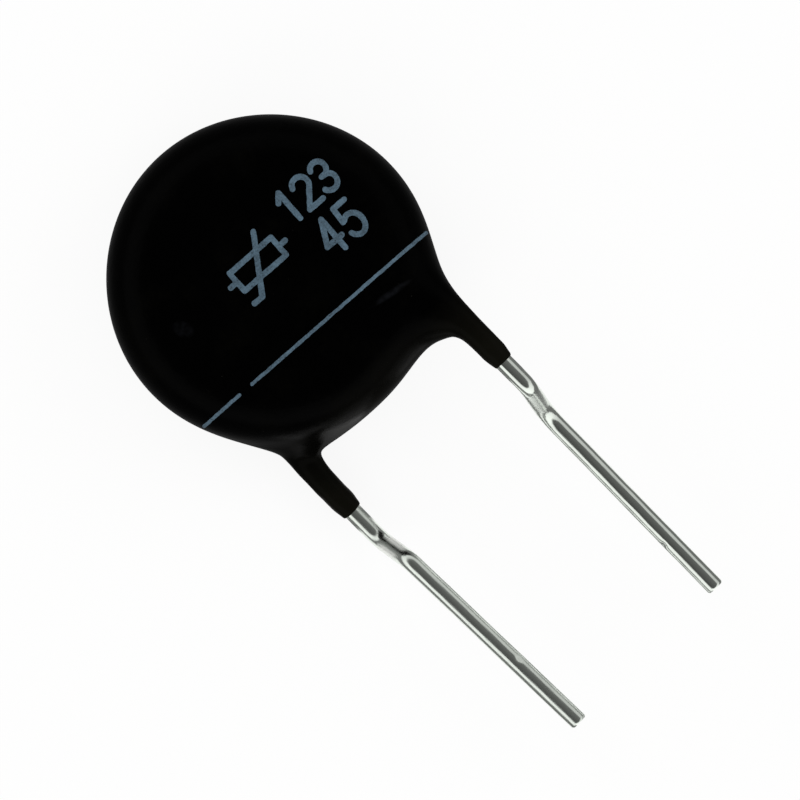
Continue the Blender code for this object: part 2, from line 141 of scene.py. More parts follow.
def newGeometryTree(name, inputs):
    # a tree with one geometry in and out, and a named number for each size
    tree = bpy.data.node_groups.new(name, "GeometryNodeTree")
    tree.is_modifier = True
    tree.interface.new_socket(name="Geometry", in_out="INPUT", socket_type="NodeSocketGeometry")
    tree.interface.new_socket(name="Geometry", in_out="OUTPUT", socket_type="NodeSocketGeometry")
    for label in inputs:
        tree.interface.new_socket(name=label, in_out="INPUT", socket_type="NodeSocketFloat")
    source = tree.nodes.new("NodeGroupInput")
    target = tree.nodes.new("NodeGroupOutput")
    fields = {label: Field(tree, source.outputs[label]) for label in inputs}
    return tree, source, target, fields


def finishTree(tree, target, shape, material):
    # instances made real, millimetres shrunk to metres, smooth shading and the material
    realize = addNode(tree, "GeometryNodeRealizeInstances", links={0: shape})
    shrink = addNode(tree, "GeometryNodeTransform", {"Scale": (mm, mm, mm)}, {"Geometry": realize.outputs[0]})
    smooth = addNode(tree, "GeometryNodeSetShadeSmooth", links={"Geometry": shrink.outputs[0]})
    paint = addNode(tree, "GeometryNodeSetMaterial", {"Material": material}, {"Geometry": smooth.outputs[0]})
    tree.links.new(paint.outputs[0], target.inputs[0])


def runTree(name, data, tree, values):
    # runs a tree on some data and keeps its result as a plain mesh
    carrier = bpy.data.objects.new(name + "Carrier", data)
    bpy.context.scene.collection.objects.link(carrier)
    modifier = carrier.modifiers.new("shape", "NODES")
    modifier.node_group = tree
    for item in tree.interface.items_tree:
        if item.in_out == "INPUT" and item.name in values:
            modifier[item.identifier] = values[item.name]
    evaluated = carrier.evaluated_get(bpy.context.evaluated_depsgraph_get())
    mesh = bpy.data.meshes.new_from_object(evaluated)
    mesh.name = name
    bpy.data.objects.remove(carrier)
    return mesh


def addPiece(name, mesh, slot, *replacedNodes):
    piece = bpy.data.objects.new(name, mesh)
    bpy.context.scene.collection.objects.link(piece)
    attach(piece, "root")
    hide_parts(*replacedNodes)


# materials

def newMaterial(name, settings):
    # a Principled material; constant values go straight on the shader's own sockets
    material = bpy.data.materials.new(name)
    material.use_nodes = True
    shader = material.node_tree.nodes["Principled BSDF"]
    for label, value in settings.items():
        shader.inputs[label].default_value = value
    return material, material.node_tree, shader


def newShaderGroup(name, inputs, outputs):
    # inputs as name: default number; outputs as name: socket type
    group = bpy.data.node_groups.new(name, "ShaderNodeTree")
    for label, value in inputs.items():
        socket = group.interface.new_socket(name=label, in_out="INPUT", socket_type="NodeSocketFloat")
        socket.default_value = value
    for label, kind in outputs.items():
        group.interface.new_socket(name=label, in_out="OUTPUT", socket_type=kind)
    source = group.nodes.new("NodeGroupInput")
    target = group.nodes.new("NodeGroupOutput")
    return group, source, target


def objectPlace(tree):
    # the row frame's own coordinates, in millimetres
    place = tree.nodes.new("ShaderNodeTexCoord").outputs["Object"]
    mapping = addNode(tree, "ShaderNodeMapping", {"Scale": (1 / mm, 1 / mm, 1 / mm)}, {"Vector": place})
    return mapping.outputs[0]


def objectAxes(tree):
    # the same coordinates as three numbers
    split = addNode(tree, "ShaderNodeSeparateXYZ", links={0: objectPlace(tree)})
    return [Field(tree, socket) for socket in split.outputs]


def makeUnevenSkin():
    # two sizes of noise that every finish here uses: a mask for its colour and gloss, and a bumped normal
    inputs = {"Broad scale": 0.6, "Fine scale": 8.0, "Fine share": 0.4, "Bump": 0.01, "Along": 1.0}
    outputs = {"Mask": "NodeSocketFloat", "Normal": "NodeSocketVector"}
    group, source, target = newShaderGroup("unevenSkin", inputs, outputs)
    x, y, z = objectAxes(group)
    drawn = y * Field(group, source.outputs["Along"])
    place = addNode(group, "ShaderNodeCombineXYZ", links={0: x, 1: drawn, 2: z})
    heights = []
    for label in ("Broad scale", "Fine scale"):
        links = {"Vector": place.outputs[0], "Scale": source.outputs[label]}
        wave = addNode(group, "ShaderNodeTexNoise", {"Detail": 3.0}, links)
        heights.append(Field(group, wave.outputs["Fac"]))
    share = Field(group, source.outputs["Fine share"])
    mask = heights[0] * (share * -1.0 + 1.0) + heights[1] * share
    links = {"Height": mask, "Strength": source.outputs["Bump"]}
    bump = addNode(group, "ShaderNodeBump", {"Distance": 0.1 * mm}, links)
    group.links.new(mask.socket, target.inputs["Mask"])
    group.links.new(bump.outputs[0], target.inputs["Normal"])
    return group


unevenSkin = makeUnevenSkin()


def useSkin(tree, shader, values):
    # places the shared skin in a material and returns its mask round zero
    node = addNode(tree, "ShaderNodeGroup", {"node_tree": unevenSkin})
    for label, value in values.items():
        node.inputs[label].default_value = value
    tree.links.new(node.outputs["Normal"], shader.inputs["Normal"])
    return Field(tree, node.outputs["Mask"]) - 0.5


def noiseSpots(tree, spots):
    # spots from 0 to 1, where a noise rises over a level
    field = noiseField(tree, objectPlace(tree), spots["scale"], spots["detail"])
    return ((field - spots["level"]) * spots["sharpness"]).clamped()


def mixColour(tree, factor, first, second):
    # a colour between two, each a tuple or a socket
    node = tree.nodes.new("ShaderNodeMix")
    node.data_type = "RGBA"
    tree.links.new(factor.socket, node.inputs[0])
    for slot, value in ((node.inputs[6], first), (node.inputs[7], second)):
        if isinstance(value, tuple):
            slot.default_value = (*value, 1.0)
        else:
            tree.links.new(value, slot)
    return node.outputs[2]


resinFinish = {
    "deep": (0.0004, 0.0004, 0.0004),
    # lighter olive towards the legs: painted sheen for the curved legs' reflection of the surroundings, with
    # some thin resin
    "thin": (0.0068, 0.0064, 0.0044),
    "thinFrom": 4.5,
    "thinOver": 2.5,
    "thinShare": 0.8,
    "mottling": 0.5,
    "roughness": 0.28,
    "roughnessSpread": 0.2,
    "specular": 0.016,
    "skin": {"Broad scale": 0.7, "Fine scale": 5.0, "Fine share": 0.3, "Bump": 0.25, "Along": 1.0},
    "dust": (0.02, 0.019, 0.016),
    "dustSpecks": {"scale": 9.0, "detail": 1.0, "level": 0.27, "sharpness": 30.0},
    "dustPlaces": {"scale": 0.5, "detail": 2.0, "level": 0.05, "sharpness": 6.0},
    "dustRoughness": 0.2,
    # painted highlights: a lighter streaky colour where the face would catch light
    "paintedHighlight": (0.0065, 0.007, 0.0085),
    "paintedHighlightStreaks": {"scale": 2.8, "detail": 2.0, "level": -0.14, "sharpness": 3.0},
}
# places of the painted highlights: a small dimple, and the ridge over the +X wire
paintedHighlights = [
    {"centre": (-3.38, 0.82), "half": (0.3, 0.42), "turn": 20.0},
    {"centre": (2.58, -3.32), "half": (0.95, 0.14), "turn": -11.0},
]


def paintedHighlightMask(tree, paintedHighlight):
    # a faint streaky painted highlight on the face, in an ellipse: lighter colour where the surface would
    # catch light
    x, y = (axis - middle for axis, middle in zip(objectAxes(tree), paintedHighlight["centre"]))
    turn = math.radians(paintedHighlight["turn"])
    along = (x * math.cos(turn) + y * math.sin(turn)) / paintedHighlight["half"][0]
    across = (y * math.cos(turn) - x * math.sin(turn)) / paintedHighlight["half"][1]
    inside = (along * along + across * across) * -1.0 + 1.0
    return inside.clamped() * noiseSpots(tree, resinFinish["paintedHighlightStreaks"])


def makeResin():
    # black dipped resin: satin, with an orange-peel skin; lighter olive brown towards the legs, partly thin
    # resin and partly painted sheen for the legs' reflection of the bright surroundings
    look = resinFinish
    settings = {"Specular IOR Level": look["specular"]}
    material, tree, shader = newMaterial("blackDippedResin", settings)
    mask = useSkin(tree, shader, look["skin"])
    y = objectAxes(tree)[1]
    # painted sheen: lighter towards the legs, standing in for the bright surroundings reflected on their
    # curved sides, with some thin brown resin
    towardsLegs = ((y * -1.0 - look["thinFrom"]) / look["thinOver"]).clamped()
    thin = (towardsLegs * look["thinShare"] + mask * look["mottling"]).clamped()
    colour = mixColour(tree, thin, look["deep"], look["thin"])
    dusty = noiseSpots(tree, look["dustSpecks"]) * noiseSpots(tree, look["dustPlaces"])
    colour = mixColour(tree, dusty, colour, look["dust"])
    # painted highlights laid into the base colour
    for paintedHighlight in paintedHighlights:
        colour = mixColour(tree, paintedHighlightMask(tree, paintedHighlight), colour, look["paintedHighlight"])
    tree.links.new(colour, shader.inputs["Base Color"])
    rough = mask * look["roughnessSpread"] + look["roughness"] + dusty * look["dustRoughness"]
    tree.links.new(rough.socket, shader.inputs["Roughness"])
    return material


tinFinish = {
    "bright": (0.81, 0.86, 0.795),
    "dull": (0.59, 0.64, 0.58),
    "dullSpots": {"scale": 2.4, "detail": 3.0, "level": 0.08, "sharpness": 4.0},
    "dullShare": 0.4,
    "mottling": 0.4,
    "roughness": 0.11,
    "roughnessSpread": 0.26,
    "handled": 0.36,
    "pressed": (9.3, 9.95),
    "pressedFade": 0.3,
    "pressedRoughness": 0.1,
    # painted reflection: near-white, less metallic colour on the sides of the slope at -X
    "paintedReflection": (0.96, 0.98, 0.93),
    "paintedReflectionMatt": 0.6,
    "paintedReflectionMiddle": (-3.64, 9.3),
    "paintedReflectionLean": 0.18,
    "paintedReflectionFrom": 0.06,
    "paintedReflectionFade": 0.12,
    "paintedReflectionStrength": 1.3,
    "skin": {"Broad scale": 1.6, "Fine scale": 18.0, "Fine share": 0.25, "Bump": 0.16, "Along": 0.05},
}


def makeTin():
    # bright tin plate with fine marks drawn along the wire and a few dull patches; the wire at -X is a little
    # rougher, and so are the slopes of the kinks, where the forming tool pressed them; on both sides of the
    # middle of the slope at -X a near-white, less metallic colour is a painted reflection of the bright
    # surroundings
    look = tinFinish
    material, tree, shader = newMaterial("brightTinPlate", {})
    mask = useSkin(tree, shader, look["skin"])
    x, y, _ = objectAxes(tree)
    along = y * -1.0
    dull = (noiseSpots(tree, look["dullSpots"]) * look["dullShare"] + mask * look["mottling"]).clamped()
    handled = (x * -1.0).clamped() * look["handled"]
    first, last = look["pressed"]
    fade = look["pressedFade"]
    pressed = ((along - first) / fade + 0.5).eased() * ((along * -1.0 + last) / fade + 0.5).eased()
    middle, start = look["paintedReflectionMiddle"]
    beside = (x - ((along - start) * look["paintedReflectionLean"] + middle)).apply("ABSOLUTE")
    sides = ((beside - look["paintedReflectionFrom"]) / look["paintedReflectionFade"]).eased() * (beside * -1.0 + 1.0).clamped()
    # painted reflection of the bright surroundings on both sides of the slope's middle at -X
    paintedReflection = (sides * pressed * look["paintedReflectionStrength"]).clamped()
    colour = mixColour(tree, dull, look["bright"], look["dull"])
    colour = mixColour(tree, paintedReflection, colour, look["paintedReflection"])
    tree.links.new(colour, shader.inputs["Base Color"])
    tree.links.new((paintedReflection * -look["paintedReflectionMatt"] + 1.0).socket, shader.inputs["Metallic"])
    rough = (dull + handled) * look["roughnessSpread"] + look["roughness"]
    rough = rough + pressed * look["pressedRoughness"]
    tree.links.new(rough.socket, shader.inputs["Roughness"])
    return material


inkFinish = {
    "full": (0.113, 0.188, 0.252),
    "worn": (0.03, 0.048, 0.064),
    "wear": 0.38,
    "wearSpread": 2.6,
    "pinholes": {"scale": 11.0, "detail": 3.0, "level": 0.13, "sharpness": 14.0},
    "pinholeWear": 0.5,
    "roughness": 0.55,
    "roughnessSpread": 0.3,
    "specular": 0.25,
    "skin": {"Broad scale": 2.2, "Fine scale": 16.0, "Fine share": 0.5, "Bump": 0.3, "Along": 1.0},
}


def makeInk():
    # grey blue printing ink, mottled, with pinholes where the resin shows through
    look = inkFinish
    material, tree, shader = newMaterial("greyBlueInk", {"Specular IOR Level": look["specular"]})
    mask = useSkin(tree, shader, look["skin"])
    pinholes = noiseSpots(tree, look["pinholes"]) * look["pinholeWear"]
    worn = (mask * -look["wearSpread"] + look["wear"] + pinholes).clamped()
    tree.links.new(mixColour(tree, worn, look["full"], look["worn"]), shader.inputs["Base Color"])
    rough = mask * look["roughnessSpread"] + look["roughness"]
    tree.links.new(rough.socket, shader.inputs["Roughness"])
    return material


innerFinishes = {
    "ceramic": {
        "light": (0.06, 0.058, 0.06), "dark": (0.02, 0.02, 0.022),
        "metallic": 0.0, "roughness": 0.7, "grain": 14.0,
    },
    "silver": {
        "light": (0.86, 0.85, 0.82), "dark": (0.58, 0.56, 0.52),
        "metallic": 1.0, "roughness": 0.45, "grain": 10.0,
    },
    "solder": {
        "light": (0.7, 0.7, 0.71), "dark": (0.42, 0.42, 0.43),
        "metallic": 1.0, "roughness": 0.26, "grain": 3.0,
    },
}
innerContrast = 2.0
innerRoughnessSpread = 0.4


def makeInner(name):
    # the pieces under the resin: sintered ceramic, fired silver and solder
    look = innerFinishes[name]
    material, tree, shader = newMaterial(name + "Finish", {"Metallic": look["metallic"]})
    skin = {"Broad scale": 1.2, "Fine scale": look["grain"], "Fine share": 0.6, "Bump": 0.5, "Along": 1.0}
    mask = useSkin(tree, shader, skin)
    shade = (mask * innerContrast + 0.5).clamped()
    tree.links.new(mixColour(tree, shade, look["dark"], look["light"]), shader.inputs["Base Color"])
    rough = mask * innerRoughnessSpread + look["roughness"]
    tree.links.new(rough.socket, shader.inputs["Roughness"])
    return material


print("materials")
resin = makeResin()
tin = makeTin()
ink = makeInk()
innerMaterials = {name: makeInner(name) for name in innerFinishes}
innerNodes = {
    "ceramic_disc": "ceramic",
    "front_electrode": "silver",
    "back_electrode": "silver",
    "front_solder": "solder",
    "back_solder": "solder",
}
for node, finish in innerNodes.items():
    nodes[node].data.materials.clear()
    nodes[node].data.materials.append(innerMaterials[finish])


# the resin body with its two legs

coatingSizes = {
    "Rim reach": 2.15,
    "Rim exponent": 2.4,
    "Face crown": 0.15,
    "Four-sidedness": 0.02,
    "Offset along the leads": -0.006,
    "Face waviness": 0.03,
    "Leg waviness": 0.04,
    "Leg taper": 0.07,
    "Leg taper length": 0.6,
    "Leg root": -4.4,
    "Leg root fade": 2.2,
    "Leg end rounding": 0.07,
    "Leg end raggedness": 0.12,
    "Voxel": 0.08,
}
waveScales = {"face": 0.35, "leg": 1.6}
volumeMargin = 0.4
legShapes = [
    {   # the leg at +X leaves from the printed face
        "side": 1, "face": 1, "axis": 3.735, "radius": 0.452, "end": -7.77, "fillet": 1.3,
        "webCentre": (3.35, -4.8, 0.95), "webRadii": (0.4, 0.57, 0.5), "webFillet": 4.0,
    },
    {   # the leg at -X leaves from the back
        "side": -1, "face": -1, "axis": 3.675, "radius": 0.465, "end": -7.81, "fillet": 2.0,
        "webCentre": (2.4, -3.0, 0.8), "webRadii": (0.85, 1.2, 0.5), "webFillet": 4.4,
    },
]


def bodyField(x, y, z, wave, sizes):
    # how far a point is outside the dipped disc: a superellipse turned about Z, a little four-sided
    radial = (x * x + y * y).root().atLeast(0.5)    # kept off zero, because it divides
    corner = (x * x * y * y * -8.0) / (radial ** 4.0) + 1.0    # cosine of four times the angle round Z
    edge = sizes["Four-sidedness"] * corner + sizes["Offset along the leads"] * (y / radial) + discRadius
    outward = (radial - (edge - sizes["Rim reach"])).atLeast(0.0) / sizes["Rim reach"]
    inside = (radial / discRadius).atMost(1.0)
    crown = sizes["Face crown"] * (inside * inside * -1.0 + 1.0) + wave * sizes["Face waviness"]
    upward = ((z - crown) / midHeight).atLeast(z / -midHeight).atLeast(0.0)
    power = sizes["Rim exponent"]
    reach = (outward ** power + upward ** power) ** (power ** -1.0)
    return (reach - 1.0) * midHeight


def legFields(x, y, z, wave, sizes, leg):
    # the web of resin between the rim and a leg, and the leg itself
    x = x * leg["side"]
    z = z * leg["face"]
    parts = []
    for along, centre, radius in zip((x, y, z), leg["webCentre"], leg["webRadii"]):
        part = (along - centre) / radius
        parts.append(part * part)
    web = ((parts[0] + parts[1] + parts[2]).root() - 1.0) * leg["webRadii"][1]
    taper = ((y * -1.0 + leg["end"]) / sizes["Leg taper length"] + 1.0).eased()
    radius = sizes["Leg taper"] * taper * -1.0 + leg["radius"] + wave * sizes["Leg waviness"]
    across = x - leg["axis"]
    height = z - wireLevel
    tube = (across * across + height * height).root() - radius
    cut = y * -1.0 + leg["end"] + wave * sizes["Leg end raggedness"]
    tube = tube.softMax(cut, sizes["Leg end rounding"])
    return web, tube.softMax(y - sizes["Leg root"], sizes["Leg root fade"])


def coatingTree():
    tree, _, target, sizes = newGeometryTree("resinCoating", coatingSizes)
    position = tree.nodes.new("GeometryNodeInputPosition").outputs[0]
    split = addNode(tree, "ShaderNodeSeparateXYZ", links={0: position})
    x, y, z = (Field(tree, socket) for socket in split.outputs)
    z = z - midHeight
    shape = bodyField(x, y, z, noiseField(tree, position, waveScales["face"]), sizes)
    wave = noiseField(tree, position, waveScales["leg"])
    for leg in legShapes:
        web, tube = legFields(x, y, z, wave, sizes, leg)
        shape = shape.softMin(web, leg["webFillet"]).softMin(tube, leg["fillet"])
    shape = shape.atLeast(z * -1.0 - midHeight)
    margin = volumeMargin
    lowest = min(leg["end"] for leg in legShapes) - margin
    low = Vector((-discRadius - margin, lowest, -margin))
    high = Vector((discRadius + margin, discRadius + margin, midHeight * 2 + margin))
    settings = {"Min": low, "Max": high}
    cube = addNode(tree, "GeometryNodeVolumeCube", settings, {"Density": shape * -1.0 + 1.0})
    for axis, extent in zip("XYZ", high - low):
        steps = sizes["Voxel"] ** -1.0 * extent
        tree.links.new(steps.socket, cube.inputs["Resolution " + axis])
    settings = {"Threshold": 1.0, "Adaptivity": 0.0}
    skin = addNode(tree, "GeometryNodeVolumeToMesh", settings, {"Volume": cube.outputs[0]})
    finishTree(tree, target, skin.outputs[0], resin)
    return tree


print("coating")
coatingMesh = runTree("coating_skin", bpy.data.meshes.new("empty"), coatingTree(), coatingSizes)
addPiece("coating_skin", coatingMesh, "resin", "coating")


# the two tinned wires

wireSizes = {
    "Radius": wireRadius,
    "Step": 0.06,
    "Sway": 0.03,
    "Unevenness": 0.03,
    "Cut rounding": 0.06,
    "Nick reach": 0.2,
    "Nick depth": 0.05,
}
wireLook = {
    "swayScales": (0.22, 0.27),
    "unevenScale": 1.1,
    "cutNarrowing": 0.12,
    "bendSteps": 12,
    "sides": 28,
    "sharpAngle": 45.0,
}
wireRoutes = {
    "right_lead": {
        "side": 1, "height": frontWireHeight, "axis": 3.72, "bendY": -4.29, "endX": 3.479,
        "kinkStart": -8.9, "kinkEnd": -10.15, "kinkX": 3.53, "kinkRadii": (0.6, 1.4),
        "nick": {"Nick X": 3.2, "Nick Y": -16.2, "Nick Z": midHeight + 0.16},
    },
    "left_lead": {
        "side": -1, "height": backWireHeight, "axis": 3.67, "bendY": -4.29, "endX": 3.191,
        "kinkStart": -9.14, "kinkEnd": -10.4, "kinkX": 3.44, "kinkRadii": (0.94, 0.5),
        "nick": {"Nick X": -3.1, "Nick Y": -15.5, "Nick Z": midHeight + 0.28},
    },
}
wireTip = (1.0, 1.6)
bendRadius = 1.6


def routeCurve(name, route):
    # the wire's corners as a poly curve; each point's radius is the radius of its bend
    corners = [
        (wireTip[0], wireTip[1], route["height"], 0.0),
        (route["axis"], route["bendY"], route["height"], bendRadius),
        (route["axis"], route["kinkStart"], route["height"], route["kinkRadii"][0]),
        (route["kinkX"], route["kinkEnd"], midHeight, route["kinkRadii"][1]),
        (route["endX"], leadEnd, midHeight, 0.0),
    ]
    curve = bpy.data.curves.new(name + "Route", "CURVE")
    curve.dimensions = "3D"
    spline = curve.splines.new("POLY")
    spline.points.add(len(corners) - 1)
    for point, (x, y, z, radius) in zip(spline.points, corners):
        point.co = (route["side"] * x, y, z, 1.0)
        point.radius = radius
    return curve


def nicked(tree, shape, sizes):
    # the skin pressed in round one place, as by a forming tool
    position = tree.nodes.new("GeometryNodeInputPosition").outputs[0]
    places = {axis: sizes["Nick " + "XYZ"[axis]] for axis in range(3)}
    nick = addNode(tree, "ShaderNodeCombineXYZ", links=places)
    links = {0: position, 1: nick.outputs[0]}
    distance = addNode(tree, "ShaderNodeVectorMath", {"operation": "DISTANCE"}, links)
    apart = Field(tree, distance.outputs["Value"])
    press = (apart / sizes["Nick reach"] * -1.0 + 1.0).eased() * sizes["Nick depth"]
    links = {0: tree.nodes.new("GeometryNodeInputNormal").outputs[0], "Scale": press * -1.0}
    offset = addNode(tree, "ShaderNodeVectorMath", {"operation": "SCALE"}, links)
    links = {"Geometry": shape, "Offset": offset.outputs[0]}
    return addNode(tree, "GeometryNodeSetPosition", links=links).outputs[0]


def wireTree():
    inputs = [*wireSizes, "Nick X", "Nick Y", "Nick Z"]
    tree, source, target, sizes = newGeometryTree("drawnWire", inputs)
    radius = tree.nodes.new("GeometryNodeInputRadius").outputs[0]
    settings = {"mode": "POLY", "Count": wireLook["bendSteps"], "Limit Radius": True}
    links = {"Curve": source.outputs["Geometry"], "Radius": radius}
    fillet = addNode(tree, "GeometryNodeFilletCurve", settings, links)
    links = {"Curve": fillet.outputs[0], "Length": sizes["Step"]}
    resample = addNode(tree, "GeometryNodeResampleCurve", {"mode": "LENGTH"}, links)
    position = tree.nodes.new("GeometryNodeInputPosition").outputs[0]
    spline = tree.nodes.new("GeometryNodeSplineParameter")
    along = Field(tree, spline.outputs["Length"])
    fromEnd = Field(tree, spline.outputs["Factor"]) * -1.0 + 1.0
    whole = along / Field(tree, spline.outputs["Factor"]).atLeast(0.001)
    swayX, swayZ = (
        noiseField(tree, position, scale, 1.0) * sizes["Sway"] for scale in wireLook["swayScales"]
    )
    offset = addNode(tree, "ShaderNodeCombineXYZ", links={"X": swayX, "Z": swayZ})
    links = {"Geometry": resample.outputs[0], "Offset": offset.outputs[0]}
    moved = addNode(tree, "GeometryNodeSetPosition", links=links)
    uneven = noiseField(tree, position, wireLook["unevenScale"]) * sizes["Unevenness"] + 1.0
    rounding = ((fromEnd * whole) / sizes["Cut rounding"]).clamped()
    narrowing = wireLook["cutNarrowing"]
    width = sizes["Radius"] * uneven * (rounding * narrowing + (1.0 - narrowing))
    links = {"Curve": moved.outputs[0], "Radius": width}
    sized = addNode(tree, "GeometryNodeSetCurveRadius", links=links)
    settings = {"Resolution": wireLook["sides"], "Radius": 1.0}
    circle = addNode(tree, "GeometryNodeCurvePrimitiveCircle", settings)
    links = {"Curve": sized.outputs[0], "Profile Curve": circle.outputs[0], "Scale": radius}
    tube = addNode(tree, "GeometryNodeCurveToMesh", {"Fill Caps": True}, links)
    finishTree(tree, target, nicked(tree, tube.outputs[0], sizes), tin)
    return tree


print("wires")
wires = wireTree()
for node, route in wireRoutes.items():
    mesh = runTree(node + "_wire", routeCurve(node, route), wires, {**wireSizes, **route["nick"]})
    mesh.set_sharp_from_angle(angle=math.radians(wireLook["sharpAngle"]))
    addPiece(node + "_wire", mesh, "tinned_wire", node)


# the print

printLook = {
    "tilt": -3.5,
    "pen": 0.2,
    "linePen": 0.122,
    "inkHeight": 0.012,
    "inkDepth": 0.03,
    "edgeSeed": 3,
    "edgeNoise": 0.014,
    "edgeNoiseScale": 6.0,
    "edgeNoiseShift": 40.0,
    "endSteps": 8,
    "step": 0.05,
    "lineY": -2.37,
    "lineEnds": (-5.12, 5.12),
    "lineBreak": (-3.45, -2.88),
}
symbolShape = {
    "centre": (0.0, 0.62),
    "half": (0.95, 0.4),
    "tail": 0.3,
    "slash": (0.62, 0.95),
    "foot": 0.36,
}
digitGroups = [
    {"digits": "123", "corner": (1.78, 0.86), "size": (0.6, 1.15), "pitch": 0.82},
    {"digits": "45", "corner": (2.2, -0.93), "size": (0.66, 1.28), "pitch": 0.92},
]


def arc(centre, radii, start, stop, steps=20):
    points = []
    for step in range(steps + 1):
        angle = math.radians(start + (stop - start) * step / steps)
        points.append((centre[0] + radii[0] * math.cos(angle), centre[1] + radii[1] * math.sin(angle)))
    return points


def digitStrokes(digit, w, h):
    # pen strokes of a plain digit, its lower left corner at the origin; each stroke is smooth
    r = w / 2
    strokes = {
        "1": [
            [(0.22 * w, 0.76 * h), (0.62 * w, h)],
            [(0.62 * w, h), (0.62 * w, 0)],
        ],
        "2": [
            arc((r, h - r), (r, r), 165, -35) + [(0, 0)],
            [(0, 0), (w, 0)],
        ],
        "3": [
            arc((r, 0.75 * h), (0.92 * r, 0.25 * h), 155, -100),
            arc((r, 0.26 * h), (r, 0.26 * h), 105, -155),
        ],
        "4": [
            [(0.7 * w, 0), (0.7 * w, h)],
            [(0.7 * w, h), (0, 0.32 * h)],
            [(0, 0.32 * h), (w, 0.32 * h)],
        ],
        "5": [
            [(0.9 * w, h), (0.14 * w, h)],
            [(0.14 * w, h), (0.08 * w, 0.55 * h)],
            arc((r, 0.32 * h), (r, 0.32 * h), 130, -155),
        ],
    }
    return strokes[digit]


def symbolStrokes():
    # the circuit symbol of a thermistor: a box with two tails, crossed by a slash with a foot
    x, y = symbolShape["half"]
    slashX, slashY = symbolShape["slash"]
    corners = [(-x, -y), (x, -y), (x, y), (-x, y)]
    strokes = [[first, second] for first, second in zip(corners, corners[1:] + corners[:1])]
    strokes += [[(side * x, 0.0), (side * (x + symbolShape["tail"]), 0.0)] for side in (-1, 1)]
    strokes.append([(-slashX - symbolShape["foot"], -slashY), (-slashX, -slashY)])
    strokes.append([(-slashX, -slashY), (slashX, slashY)])
    return strokes


def evenSteps(points, step):
    # the same stroke with a point every step
    places = [Vector(points[0])]
    for first, second in zip(points, points[1:]):
        first, second = Vector(first), Vector(second)
        count = max(1, round((second - first).length / step))
        places += [first.lerp(second, number / count) for number in range(1, count + 1)]
    return places


def roundEnd(centre, start):
    # half a turn round the end of a stroke, anticlockwise from one of its sides
    spoke = start - centre
    steps = printLook["endSteps"]
    turns = [math.pi * number / steps for number in range(1, steps)]
    return [
        centre + Vector((
            spoke.x * math.cos(turn) - spoke.y * math.sin(turn),
            spoke.x * math.sin(turn) + spoke.y * math.cos(turn),
        ))
        for turn in turns
    ]


def strokeOutline(points, pen):
    # a stroke's closed outline, with round ends and a slightly uneven edge
    places = evenSteps(points, printLook["step"])
    left, right = [], []
    for number, place in enumerate(places):
        before = places[max(number - 1, 0)]
        after = places[min(number + 1, len(places) - 1)]
        ahead = (after - before).normalized()
        across = Vector((-ahead.y, ahead.x)) * pen / 2
        left.append(place + across)
        right.append(place - across)
    outline = right + roundEnd(places[-1], right[-1]) + left[::-1] + roundEnd(places[0], left[0])
    shift = pen * printLook["edgeNoiseShift"]
    uneven = []
    for place in outline:
        wobble = noise.noise_vector((*(place * printLook["edgeNoiseScale"]), shift))
        uneven.append(place + Vector(wobble[:2]) * printLook["edgeNoise"])
    return uneven


def printPlace(place, corner):
    # from a mark's own coordinates to the row frame, tilted with the chord line
    tilt = math.radians(printLook["tilt"])
    x, y = place[0] + corner[0], place[1] + corner[1]
    return x * math.cos(tilt) - y * math.sin(tilt), x * math.sin(tilt) + y * math.cos(tilt)


faceTree = BVHTree.FromPolygons(
    [vert.co / mm for vert in coatingMesh.vertices], [face.vertices for face in coatingMesh.polygons]
)


def faceHeight(x, y):
    hit = faceTree.ray_cast(Vector((x, y, 10.0)), Vector((0.0, 0.0, -1.0)))
    return hit[0].z if hit[0] else midHeight


def inkMesh(name, strokes, corner, pen):
    # the union of the strokes' outlines, laid on the face as a thin film of ink
    coords, faces = [], []
    for points in strokes:
        outline = [Vector(printPlace(place, corner)) for place in strokeOutline(points, pen)]
        faces.append(list(range(len(coords), len(coords) + len(outline))))
        coords += outline
    flat = geometry.delaunay_2d_cdt(coords, [], faces, 0, 1e-5, True)
    bm = bmesh.new()
    verts = [bm.verts.new((x, y, faceHeight(x, y) + printLook["inkHeight"])) for x, y in flat[0]]
    for corners, origin in zip(flat[2], flat[5]):
        if origin:
            bm.faces.new([verts[number] for number in corners])
    bmesh.ops.delete(bm, geom=[vert for vert in bm.verts if not vert.link_faces], context="VERTS")
    bmesh.ops.recalc_face_normals(bm, faces=bm.faces)
    if sum(face.normal.z for face in bm.faces) < 0:
        bmesh.ops.reverse_faces(bm, faces=bm.faces)
    top = list(bm.faces)
    grown = bmesh.ops.extrude_face_region(bm, geom=top, use_keep_orig=True)
    lowered = [item for item in grown["geom"] if isinstance(item, bmesh.types.BMVert)]
    bmesh.ops.translate(bm, verts=lowered, vec=(0.0, 0.0, -printLook["inkDepth"]))
    bmesh.ops.recalc_face_normals(bm, faces=bm.faces)
    bmesh.ops.scale(bm, vec=(mm, mm, mm), verts=bm.verts)
    mesh = bpy.data.meshes.new(name)
    bm.to_mesh(mesh)
    bm.free()
    mesh.materials.append(ink)
    return mesh


def addMark(node, strokes, corner, pen):
    addPiece(node.replace("print", "ink"), inkMesh(node, strokes, corner, pen), "ink", node)


print("print")
noise.seed_set(printLook["edgeSeed"])    # or the strokes' edges would change from run to run
lineCorner = (0.0, printLook["lineY"])
lineParts = zip(printLook["lineEnds"], printLook["lineBreak"])
for node, ends in zip(("print_line_short", "print_line_long"), lineParts):
    addMark(node, [[(x, 0.0) for x in sorted(ends)]], lineCorner, printLook["linePen"])
addMark("print_symbol", symbolStrokes(), symbolShape["centre"], printLook["pen"])
for group in digitGroups:
    for place, digit in enumerate(group["digits"]):
        corner = (group["corner"][0] + group["pitch"] * place, group["corner"][1])
        addMark("print_digit_" + digit, digitStrokes(digit, *group["size"]), corner, printLook["pen"])


# stage, light and camera

